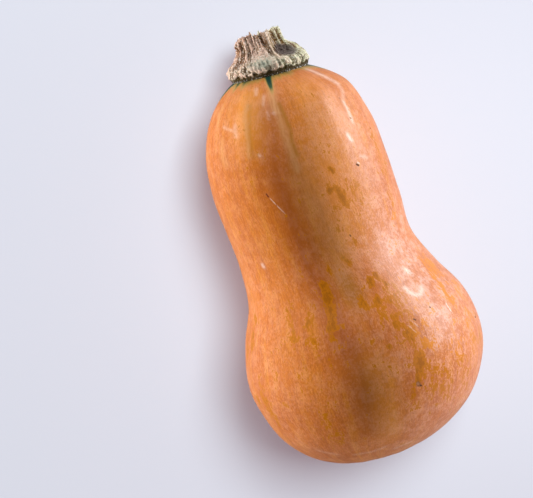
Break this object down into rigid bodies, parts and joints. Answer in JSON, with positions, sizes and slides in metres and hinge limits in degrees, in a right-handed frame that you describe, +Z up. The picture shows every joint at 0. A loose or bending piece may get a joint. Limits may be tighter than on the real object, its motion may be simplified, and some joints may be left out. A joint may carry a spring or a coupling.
{
  "type": "butternut squash",
  "caption": "Whole butternut squash lying on its side: thick neck, round bulb, corky blossom scar and a short ridged dry stem.",
  "frame": {"origin": "middle of the bounding box in X and Y, on the level the squash lies on", "axes": "+Z up; +Y from the blossom end towards the stem; +X to the side the bulb leans to"},
  "size_m": [0.103, 0.1906, 0.1024],
  "materials": {
    "skin": "waxy orange skin with a thin pale bloom, satin",
    "dry_stem": "dry corky grey-green and brown, rough"
  },
  "bodies": {
    "root": {"fruit": "skin", "stem": "dry_stem"}
  },
  "joints": []
}
